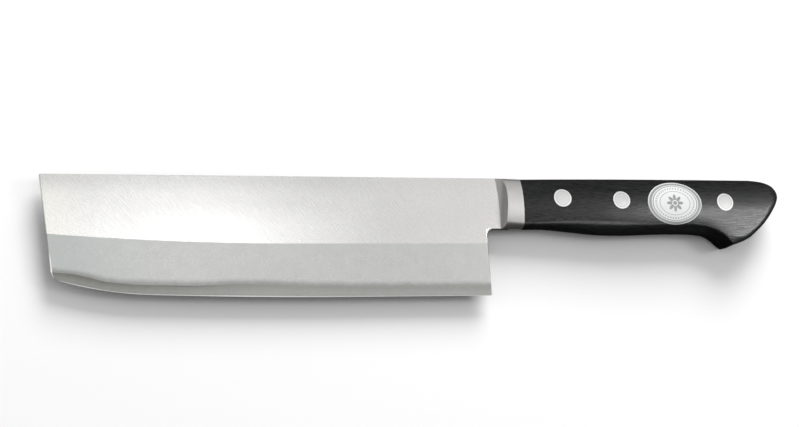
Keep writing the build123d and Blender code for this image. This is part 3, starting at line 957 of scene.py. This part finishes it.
def brushed_group():
    """Fine parallel scratches, which are noise drawn out in one direction, a few deeper ones and clouds."""
    tree, inner, out = new_group(
        "brushed marks",
        [("Vector", "Vector", None), ("Angle", "Float", 0.0), ("Scale", "Float", 1.0),
         ("Stretch", "Float", 0.02)],
        ["Fine", "Deep", "Cloud"])
    turned = tree.node("ShaderNodeVectorRotate", {"Vector": inner["Vector"], "Angle": inner["Angle"]},
                       rotation_type="Z_AXIS").outputs[0]
    sized = tree.vector("SCALE", {0: turned, "Scale": inner["Scale"]})
    stretch = tree.node("ShaderNodeCombineXYZ", {"X": inner["Stretch"], "Y": 1.0, "Z": 1.0}).outputs[0]
    drawn = tree.vector("MULTIPLY", {0: sized, 1: stretch})
    tree.feed(out["Fine"], tree.noise(drawn, 9000.0, detail=3.0, roughness=0.65))
    tree.feed(out["Deep"], tree.ramp(tree.noise(drawn, 2600.0), 0.60, 0.72))
    tree.feed(out["Cloud"], tree.noise(inner["Vector"], 60.0, detail=3.0, roughness=0.55))


def grit_group():
    """A fine even grit, and a mottle about eight times as coarse."""
    tree, inner, out = new_group("grit", [("Vector", "Vector", None), ("Scale", "Float", 3000.0)],
                                 ["Grit", "Mottle"])
    tree.feed(out["Grit"], tree.noise(inner["Vector"], inner["Scale"], roughness=0.6))
    coarse = tree.times(inner["Scale"], 0.12)
    tree.feed(out["Mottle"], tree.noise(inner["Vector"], coarse, detail=3.0, roughness=0.55))


def grain_group():
    """Wood grain of thin laminated veneers: fibres drawn out lengthwise, pores and slow bands of tone."""
    tree, inner, out = new_group("wood grain", [("Vector", "Vector", None)], ["Fibre", "Pores", "Bands"])
    wander = tree.noise(tree.scaled(inner["Vector"], (30, 90, 90)), 1.0)
    shift = tree.node("ShaderNodeCombineXYZ", {"Y": tree.times(wander, 0.0012)}).outputs[0]
    bent = tree.vector("ADD", {0: inner["Vector"], 1: shift})
    fibres = tree.noise(tree.scaled(bent, (160, 5200, 5200)), 1.0, detail=4.0, roughness=0.65)
    tree.feed(out["Fibre"], fibres)
    pores = tree.noise(tree.scaled(bent, (420, 3600, 3600)), 1.0, detail=1.0)
    tree.feed(out["Pores"], tree.ramp(pores, 0.62, 0.72))
    tree.feed(out["Bands"], tree.noise(tree.scaled(bent, (22, 420, 420)), 1.0))


def wear_group():
    """Where an edge has been rubbed: the mesh's outward bends, broken up by noise."""
    tree, inner, out = new_group("edge wear", [("Vector", "Vector", None), ("Amount", "Float", 1.0)],
                                 ["Mask"])
    bend = tree.ramp(tree.node("ShaderNodeNewGeometry").outputs["Pointiness"], 0.53, 0.62)
    patchy = tree.ramp(tree.noise(inner["Vector"], 900.0, detail=3.0, roughness=0.6), 0.3, 0.6)
    tree.feed(out["Mask"], tree.math("MULTIPLY", tree.times(bend, patchy), inner["Amount"], clamp=True))


def new_material(name):
    """An empty material: itself, its own tree, its shader's sockets and the object's coordinates."""
    material = bpy.data.materials.new(name)
    material.use_nodes = True
    tree = Tree(material.node_tree)
    shader = material.node_tree.nodes["Principled BSDF"].inputs
    return material, tree, shader, tree.node("ShaderNodeTexCoord").outputs["Object"]


def relief(tree, shader, height, distance, strength):
    """Roughens a material's surface by a height."""
    inputs = {"Height": height, "Strength": strength, "Distance": distance}
    tree.feed(shader["Normal"], tree.node("ShaderNodeBump", inputs).outputs["Normal"])


def rgba(values, share=1.0):
    """A colour with its alpha, made paler or darker by a share."""
    return tuple(min(value * share, 1.0) for value in values) + (1.0,)


def dress(piece, material):
    """Gives a piece one material."""
    piece.data.materials.clear()
    piece.data.materials.append(material)


def painted_tip_highlight(tree, surface):
    """A painted highlight: a thin bright line down the lower part of the tip end, where the flat coordinates
    start.
    """
    beside = tree.ramp(surface["X"], 0.0030, 0.0048, 1.0, 0.0)
    return tree.times(beside, tree.ramp(surface["Y"], 2.35, 2.75))


def blade_material(blade):
    """Soft steel: satin flat with slanting scratches, matte ground bevel below it, bright rubbed rims. The
    flat
    carries painted reflection: painted highlights near the tip and above the grind line, painted shade along
    the spine, and a painted highlight runs down the tip end. Tones that change along the blade are ramps over
    its places in the row frame."""
    tip_sheen, cool, straw = (0.86, 0.85, 0.79), (0.42, 0.47, 0.45), (0.665, 0.648, 0.628)
    rubbed_and_highlit = (0.93, 0.93, 0.92)
    material, tree, shader, place = new_material("satin blade steel")
    surface = tree.surface()
    bands = surface["Y"]
    along, across, _ = tree.parts(place)
    bevel = tree.ramp(bands, 1.97, 2.0)
    marks = tree.group("brushed marks", Vector=place, Angle=math.radians(50), Scale=0.55, Stretch=0.03)
    drags = tree.group("brushed marks", Vector=place, Angle=0.0, Scale=0.35, Stretch=0.012)
    grit = tree.group("grit", Vector=place, Scale=2600.0)

    # The satin flat, with its clouds and scratches and its tones along and across the blade: painted
    # highlights near the tip and above the grind line, painted shade along the spine, a straw tint at the
    # heel
    cloudy = tree.ramp(marks["Cloud"], 0.35, 0.7)
    flat = tree.mix(cloudy, rgba(blade.flat_colour, 0.97), rgba(blade.flat_colour, 1.03))
    scratched = tree.times(marks["Deep"], tree.ramp(along, -0.10, -0.065, 0.06, 0.24))
    scratched = tree.times(scratched, tree.ramp(along, -0.03, 0.01, 1.0, 0.35))
    flat = tree.mix(scratched, flat, rgba(blade.flat_colour, 0.78))
    # Painted highlight: the flat is paler towards the tip end
    flat = tree.mix(tree.ramp(along, -0.142, -0.122, 0.55, 0.0), flat, rgba(tip_sheen))
    flat = tree.mix(tree.ramp(along, -0.03, 0.02, 0.0, 0.7), flat, rgba(straw))
    # Painted shade: the flat is darker along the spine, most towards the tip
    spine_shade = tree.ramp(across, 0.0140, 0.0215, 0.0, 0.8)
    spine_shade = tree.times(spine_shade, tree.ramp(along, -0.05, -0.01, 1.0, 0.2))
    flat = tree.mix(spine_shade, flat, rgba(blade.flat_colour, 0.86))
    # Painted highlight: the flat is paler above the grind line over the middle of the blade
    grind_sheen = tree.ramp(across, 0.003, 0.014, 1.0, 0.0)
    grind_sheen = tree.times(grind_sheen, tree.ramp(along, -0.055, -0.010, 1.0, 0.0))
    grind_sheen = tree.times(grind_sheen, tree.ramp(along, -0.105, -0.075))
    flat = tree.mix(grind_sheen, flat, rgba(blade.flat_colour, 1.09))

    # The ground bevel, which is darker beside the weld line
    ground = tree.mix(grit["Mottle"], rgba(blade.bevel_colour, 0.90), rgba(blade.bevel_colour, 1.08))
    ground = tree.mix(tree.ramp(grit["Grit"], 0.5, 0.68, 0.0, 0.6), ground, rgba(blade.bevel_colour, 1.3))
    ground = tree.mix(tree.ramp(along, -0.14, -0.10, 0.35, 0.0), ground, rgba(cool))
    near_weld = tree.plus(bands, tree.times(grit["Mottle"], 0.10))
    ground = tree.mix(tree.ramp(near_weld, 2.88, 3.05, 0.0, 0.75), ground, rgba(blade.core_colour, 1.3))

    # The rubbed rims and the painted highlight down the tip end, and all of it together
    wear = tree.group("edge wear", Vector=place, Amount=0.7)["Mask"]
    wear = tree.times(wear, tree.ramp(bands, 2.6, 2.85, 1.0, 0.12))
    wear = tree.most(wear, painted_tip_highlight(tree, surface))
    tree.feed(shader["Base Color"], tree.mix(wear, tree.mix(bevel, flat, ground), rgba(rubbed_and_highlit)))
    shader["Metallic"].default_value = 0.85
    rough = tree.plus(tree.ramp(marks["Fine"], 0.3, 0.7, 0.235, 0.285), tree.times(bevel, 0.13))
    tree.feed(shader["Roughness"], tree.minus(rough, tree.times(wear, 0.1)))
    lines = tree.plus(tree.times(marks["Fine"], 0.5), tree.times(drags["Fine"], 0.6))
    height = tree.plus(lines, tree.times(tree.times(grit["Grit"], bevel), 1.2))
    relief(tree, shader, height, distance=0.00001, strength=0.13)
    return material


def core_material(blade):
    """Hard steel, etched dark, with painted reflection: darkest just under the wavy weld line, paler towards
    the honed edge and the heel. It carries the painted highlight down the tip end too.
    """
    pale, honed = (0.48, 0.48, 0.466), (0.86, 0.86, 0.85)
    material, tree, shader, place = new_material("etched core steel")
    surface = tree.surface()
    grit = tree.group("grit", Vector=place, Scale=3200.0)
    drags = tree.group("brushed marks", Vector=place, Angle=math.radians(80), Scale=0.5, Stretch=0.05)
    down = tree.plus(surface["Y"], tree.times(grit["Mottle"], 0.25))
    # Partly etch and partly painted reflection: darkest under the weld line, paler down towards the edge
    tone = tree.mix(tree.ramp(down, 3.05, 3.95), rgba(blade.core_colour), rgba(blade.core_colour, 1.9))
    # Painted reflection: paler towards the heel
    tone = tree.mix(tree.ramp(tree.parts(place)["X"], -0.13, -0.05, 0.0, 0.55), tone, rgba(pale))
    tone = tree.mix(tree.ramp(grit["Grit"], 0.4, 0.7, 0.0, 0.3), tone, rgba(blade.core_colour, 1.6))
    # The honed edge's bright finish, and the painted highlight down the tip end
    bright = tree.most(tree.ramp(surface["Y"], 3.905, 3.935), painted_tip_highlight(tree, surface))
    tree.feed(shader["Base Color"], tree.mix(bright, tone, rgba(honed)))
    shader["Metallic"].default_value = 0.8
    rough = tree.ramp(grit["Grit"], 0.3, 0.7, 0.42, 0.56)
    tree.feed(shader["Roughness"], tree.minus(rough, tree.times(bright, 0.2)))
    height = tree.plus(drags["Fine"], grit["Grit"])
    relief(tree, shader, height, distance=0.00001, strength=0.45)
    return material


def steel_material(name, base, angle, rough, scale=0.6, deep=0.15, rubbed=0.35, strength=0.5):
    """Plain satin steel with brushing in one direction, cloudy tone and rubbed edges, which on the bolster
    are turned up into painted highlights along its rims. The flat coordinates say more: X is 2 on the
    bolster's scoop, which is ground darker and painted with the shade of its hollow, and Y is 2 and the share
    of the radius on a rivet, whose polished rim is brighter, partly by a painted highlight, outside a faint
    dark ring."""
    rim, worn = (0.95, 0.95, 0.94), (0.92, 0.91, 0.90)
    material, tree, shader, place = new_material(name)
    surface = tree.surface()
    marks = tree.group("brushed marks", Vector=place, Angle=math.radians(angle), Scale=scale, Stretch=0.04)
    grit = tree.group("grit", Vector=place, Scale=2600.0)
    tone = tree.mix(tree.ramp(marks["Cloud"], 0.3, 0.7), rgba(base, 0.94), rgba(base, 1.05))
    tone = tree.mix(tree.times(marks["Deep"], deep), tone, rgba(base, 0.6))
    ground = tree.mix(grit["Grit"], rgba(base, 0.55), rgba(base, 0.85))
    # The bolster's scoop: a darker ground finish and painted shade of the hollow
    tone = tree.mix(tree.ramp(surface["X"], 1.4, 1.6, 0.0, 0.8), tone, ground)
    ring = tree.ramp(tree.apart_from(surface["Y"], 2.78), 0.01, 0.05, 0.35, 0.0)
    tone = tree.mix(ring, tone, rgba(base, 0.6))
    # The rivet's polished rim, brighter partly by a painted highlight
    tone = tree.mix(tree.ramp(surface["Y"], 2.82, 2.88, 0.0, 0.6), tone, rgba(rim))
    wear = tree.group("edge wear", Vector=place, Amount=rubbed)["Mask"]
    tree.feed(shader["Base Color"], tree.mix(wear, tone, rgba(worn)))
    shader["Metallic"].default_value = 0.9
    tree.feed(shader["Roughness"], tree.ramp(marks["Fine"], 0.3, 0.7, rough - 0.05, rough + 0.07))
    relief(tree, shader, marks["Fine"], distance=0.000012, strength=strength)
    return material


def wood_material(handle):
    """Blackened laminated wood: fine lengthwise fibres and pores under a thin worn polish."""
    pore = (0.012, 0.012, 0.012)
    material, tree, shader, place = new_material("black laminated wood")
    grain = tree.group("wood grain", Vector=place)
    wear = tree.group("edge wear", Vector=place, Amount=0.5)["Mask"]
    fibres = tree.ramp(grain["Fibre"], 0.35, 0.7)
    tone = tree.mix(fibres, rgba(handle.wood_colour, 0.75), rgba(handle.grain_colour, 0.75))
    tone = tree.mix(tree.ramp(grain["Bands"], 0.4, 0.65, 0.0, 0.4), tone, rgba(handle.wood_colour, 0.65))
    tone = tree.mix(grain["Pores"], tone, rgba(pore))
    tree.feed(shader["Base Color"], tree.mix(wear, tone, rgba(handle.grain_colour, 1.5)))
    shader["Specular IOR Level"].default_value = 0.21
    tree.feed(shader["Roughness"], tree.ramp(grain["Fibre"], 0.3, 0.7, 0.24, 0.37))
    height = tree.minus(grain["Fibre"], tree.times(grain["Pores"], 0.7))
    relief(tree, shader, height, distance=0.00003, strength=0.42)
    return material


def label_material(label):
    """White film with a grey print: two oval lines, a ring of small dots, a fine line and a flower of eight
    petals, whose outline is a radius that swells with the cosine of four times the angle."""
    material, tree, shader, place = new_material("printed film")
    u, v, _ = tree.surface()

    def polar(x, y):
        radius = tree.math("SQRT", tree.plus(tree.times(x, x), tree.times(y, y)))
        return radius, tree.math("ARCTAN2", y, x)

    def waves(angle, count):
        return tree.math("COSINE", tree.times(angle, count))

    radius, angle = polar(u, v)
    round_radius, round_angle = polar(tree.times(u, label.length / label.height), v)

    def line(middle, half):
        return tree.ramp(tree.apart_from(radius, middle), half, half + 0.012, 1.0, 0.0)

    # The print
    petals = tree.plus(0.15, tree.times(tree.math("ABSOLUTE", waves(round_angle, 4.0)), 0.25))
    flower = tree.ramp(tree.minus(round_radius, petals), 0.0, 0.02, 1.0, 0.0)
    flower = tree.times(flower, tree.ramp(tree.apart_from(round_radius, 0.12), 0.018, 0.032))
    dots = tree.times(tree.ramp(waves(angle, 44.0), 0.15, 0.45), line(0.70, 0.028))
    fine_line = tree.times(line(0.56, 0.008), 0.8)
    printed = tree.most(line(0.915, 0.042), line(0.815, 0.012), flower, dots, fine_line)
    grit = tree.group("grit", Vector=place, Scale=2200.0)
    film = tree.mix(grit["Mottle"], rgba(label.film_colour, 0.97), rgba(label.film_colour, 1.04))
    ink = tree.mix(grit["Grit"], rgba(label.print_colour, 0.85), rgba(label.print_colour, 1.2))
    tree.feed(shader["Base Color"], tree.mix(printed, film, ink))
    tree.feed(shader["Roughness"], tree.ramp(printed, 0.0, 1.0, 0.42, 0.30))
    height = tree.plus(tree.times(grit["Mottle"], 0.3), printed)
    relief(tree, shader, height, distance=0.000015, strength=0.5)
    return material


def floor_material():
    """Matte white paper with a faint tooth. To all but the camera it is nearly black from the tip on, so that
    it throws little light back under the knife, and pale beyond the tip."""
    material, tree, shader, place = new_material("white paper floor")
    tooth = tree.noise(place, 900.0)
    seen = tree.node("ShaderNodeLightPath").outputs["Is Camera Ray"]
    paper = tree.mix(tooth, rgba((0.93, 0.93, 0.93)), rgba((0.96, 0.96, 0.96)))
    under = tree.ramp(tree.parts(place)["X"], -0.146, -0.126)
    thrown = tree.mix(under, rgba((0.85, 0.85, 0.85)), rgba((0.03, 0.03, 0.03)))
    tree.feed(shader["Base Color"], tree.mix(seen, thrown, paper))
    tree.feed(shader["Roughness"], tree.ramp(tooth, 0.3, 0.7, 0.85, 0.95))
    shader["Specular IOR Level"].default_value = 0.1
    return material


class NAKIRI_OT_blade(bpy.types.Operator):
    """Makes the core and the two soft layers of the blade"""
    bl_idname = "nakiri.blade"
    bl_label = "Blade"

    def execute(self, context):
        scene = context.scene
        blade = scene.nakiri_blade
        left, right, core = blade_layers(blade, scene.nakiri_bolster, scene.nakiri_handle)
        soft = blade_material(blade)
        for piece, node in ((left, "cladding_left"), (right, "cladding_right")):
            dress(piece, soft)
            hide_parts(node)
        dress(core, core_material(blade))
        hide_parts("core_steel")
        return {"FINISHED"}


class NAKIRI_OT_bolster(bpy.types.Operator):
    """Makes the two halves of the bolster"""
    bl_idname = "nakiri.bolster"
    bl_label = "Bolster"

    def execute(self, context):
        scene = context.scene
        bolster = scene.nakiri_bolster
        # Strong rubbed edges: painted highlights along the bolster's rims
        material = steel_material("satin bolster steel", bolster.colour, angle=90, rough=0.44, rubbed=0.9)
        pieces = bolster_halves(bolster, scene.nakiri_handle, scene.nakiri_blade)
        for piece, node in zip(pieces, ("bolster_left", "bolster_right")):
            dress(piece, material)
            bpy.data.collections["fittings only"].objects.link(piece)
            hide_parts(node)
        return {"FINISHED"}


class NAKIRI_OT_handle(bpy.types.Operator):
    """Makes the wooden handle and finishes the tang that shows along its back"""
    bl_idname = "nakiri.handle"
    bl_label = "Handle and tang"

    def execute(self, context):
        scene = context.scene
        handle = scene.nakiri_handle
        grip = handle_grip(handle, scene.nakiri_bolster)
        dress(grip, wood_material(handle))
        bpy.data.collections["handle only"].objects.link(grip)
        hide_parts("handle")
        steel = steel_material("plain tang steel", handle.tang_colour, angle=0, rough=0.42)
        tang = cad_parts["tang"]
        tang.data.materials.clear()
        tang.data.materials.append(steel)
        return {"FINISHED"}


class NAKIRI_OT_rivets(bpy.types.Operator):
    """Makes the three rivets, each a stud and a tube"""
    bl_idname = "nakiri.rivets"
    bl_label = "Rivets"

    def execute(self, context):
        scene = context.scene
        rivet = scene.nakiri_rivet
        material = steel_material("ground rivet steel", rivet.colour, angle=35, rough=0.42, scale=0.8,
                                  deep=0.06, rubbed=0.0, strength=0.12)
        for name, place in RIVET_PLACES.items():
            pieces = rivet_pair(rivet, scene.nakiri_handle, scene.nakiri_bolster, name, *place)
            for piece, kind in zip(pieces, ("_rivet_stud", "_rivet_tube")):
                dress(piece, material)
                bpy.data.collections["fittings only"].objects.link(piece)
                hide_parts(name + kind)
        return {"FINISHED"}


class NAKIRI_OT_label(bpy.types.Operator):
    """Makes the oval label on the handle's left side"""
    bl_idname = "nakiri.label"
    bl_label = "Label"

    def execute(self, context):
        scene = context.scene
        label = scene.nakiri_label
        film = label_film(label, scene.nakiri_handle, scene.nakiri_bolster)
        dress(film, label_material(label))
        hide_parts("label")
        return {"FINISHED"}


# Place, point aimed at and side of each softbox, in metres. They were set by the tones in the photo.
SOFTBOXES = {
    "key": ((0.20, 1.02, 0.74), (0.0, 0.0, 0.0), 0.70),
    "strip": ((0.01, 0.055, 0.62), (0.01, 0.055, 0.0), 0.10),
    "sheen": ((0.49, 0.056, 0.60), (0.12, 0.0, 0.0), 0.17),
    "belly": ((0.30, -0.36, 0.60), (0.08, 0.0, 0.0), 0.20),
    "upper": ((0.50, 0.29, 0.60), (0.12, 0.0, 0.0), 0.22),
    "fittings": ((0.34, 0.50, 0.62), (0.05, 0.0, 0.0), 0.60),
    "right": ((0.50, 0.05, 0.62), (0.05, 0.0, 0.0), 0.16),
    "side": ((-0.95, 0.15, 0.60), (0.0, 0.0, 0.0), 0.60),
}

# The softboxes that shine on one collection alone
LINKED = {"sheen": "handle only", "belly": "handle only", "upper": "handle only", "fittings": "fittings only"}

# The camera's own right, up and backward directions and its place, fitted to the outline in the photo
CAMERA_AXES = (0.95538, -0.04935, 0.29122), (-0.00442, 0.98344, 0.18117), (-0.29533, -0.17437, 0.93935)
CAMERA_PLACE = (-0.206912, -0.106838, 0.630217)
FLOOR_HALF = 3.0


def paper_floor():
    """A square of paper under the knife."""
    corners = [(x * FLOOR_HALF, y * FLOOR_HALF, 0) for x, y in ((-1, -1), (1, -1), (1, 1), (-1, 1))]
    mesh = bpy.data.meshes.new("floor")
    mesh.from_pydata(corners, [], [(0, 1, 2, 3)])
    mesh.materials.append(floor_material())
    floor = bpy.data.objects.new("floor", mesh)
    bpy.context.scene.collection.objects.link(floor)


def softbox(name, power):
    """A square area light, turned towards its point. The key light is kept out of reflections."""
    place, aim, side = SOFTBOXES[name]
    lamp = bpy.data.lights.new(name, "AREA")
    lamp.size = side
    lamp.energy = power
    light = bpy.data.objects.new(name, lamp)
    light.location = place
    light.rotation_euler = (Vector(aim) - Vector(place)).to_track_quat("-Z", "Y").to_euler()
    bpy.context.scene.collection.objects.link(light)
    light.visible_glossy = name != "key"
    if name in LINKED:
        light.light_linking.receiver_collection = bpy.data.collections[LINKED[name]]


def white_room(low_sky, sky):
    """Even white light from all round, stronger overhead than near the floor and weak from the front."""
    world = bpy.data.worlds.new("white room")
    world.use_nodes = True
    background = world.node_tree.nodes["Background"].inputs
    background["Color"].default_value = rgba((1.0, 1.0, 1.0))
    tree = Tree(world.node_tree)
    _, ahead, up = tree.parts(tree.node("ShaderNodeTexCoord").outputs["Generated"])
    overhead = tree.ramp(up, 0.62, 0.93, low_sky, sky)
    tree.feed(background["Strength"], tree.times(overhead, tree.ramp(ahead, -0.70, -0.10, 0.15, 1.0)))
    bpy.context.scene.world = world


def photo_camera(focal_length):
    """The camera where the photo was taken from."""
    lens = bpy.data.cameras.new("camera")
    lens.sensor_width = 36.0
    lens.lens = focal_length
    camera = bpy.data.objects.new("camera", lens)
    camera.matrix_world = Matrix.Translation(CAMERA_PLACE) @ Matrix(CAMERA_AXES).transposed().to_4x4()
    bpy.context.scene.collection.objects.link(camera)
    bpy.context.scene.camera = camera


class NAKIRI_OT_stage(bpy.types.Operator):
    """Makes the floor, the lights and the camera"""
    bl_idname = "nakiri.stage"
    bl_label = "Floor, lights and camera"

    def execute(self, context):
        stage = context.scene.nakiri_stage
        paper_floor()
        for name in sorted(set(LINKED.values())):
            bpy.data.collections.new(name)
        for name in SOFTBOXES:
            softbox(name, getattr(stage, name + "_power"))
        white_room(stage.low_sky, stage.sky)
        photo_camera(stage.lens)
        context.scene.view_settings.view_transform = "Standard"
        return {"FINISHED"}


class NAKIRI_OT_effects(bpy.types.Operator):
    """Makes the shader node groups that the materials share"""
    bl_idname = "nakiri.effects"
    bl_label = "Shared effects"

    def execute(self, context):
        brushed_group()
        grit_group()
        grain_group()
        wear_group()
        return {"FINISHED"}


STEPS = ("effects", "stage", "blade", "bolster", "handle", "rivets", "label")


class NAKIRI_PT_panel(bpy.types.Panel):
    """Lists the steps and the settings"""
    bl_idname = "NAKIRI_PT_panel"
    bl_label = "Nakiri"
    bl_space_type = "VIEW_3D"
    bl_region_type = "UI"
    bl_category = "Nakiri"

    def draw(self, context):
        for step in STEPS:
            self.layout.operator("nakiri." + step)
        for name in SETTINGS:
            settings = getattr(context.scene, "nakiri_" + name)
            box = self.layout.box()
            for key in settings.__annotations__:
                box.prop(settings, key)


SETTINGS = {
    "blade": BladeSettings,
    "bolster": BolsterSettings,
    "handle": HandleSettings,
    "rivet": RivetSettings,
    "label": LabelSettings,
    "stage": StageSettings,
}
OPERATORS = (NAKIRI_OT_effects, NAKIRI_OT_stage, NAKIRI_OT_blade, NAKIRI_OT_bolster, NAKIRI_OT_handle,
             NAKIRI_OT_rivets, NAKIRI_OT_label)


def register():
    for name, settings in SETTINGS.items():
        bpy.utils.register_class(settings)
        setattr(bpy.types.Scene, "nakiri_" + name, PointerProperty(type=settings))
    for operator in OPERATORS:
        bpy.utils.register_class(operator)
    bpy.utils.register_class(NAKIRI_PT_panel)


def unregister():
    bpy.utils.unregister_class(NAKIRI_PT_panel)
    for operator in reversed(OPERATORS):
        bpy.utils.unregister_class(operator)
    for name, settings in reversed(SETTINGS.items()):
        delattr(bpy.types.Scene, "nakiri_" + name)
        bpy.utils.unregister_class(settings)


def main():
    """Makes the whole knife."""
    register()
    for step in STEPS:
        getattr(bpy.ops.nakiri, step)()


if __name__ == "__main__":
    main()
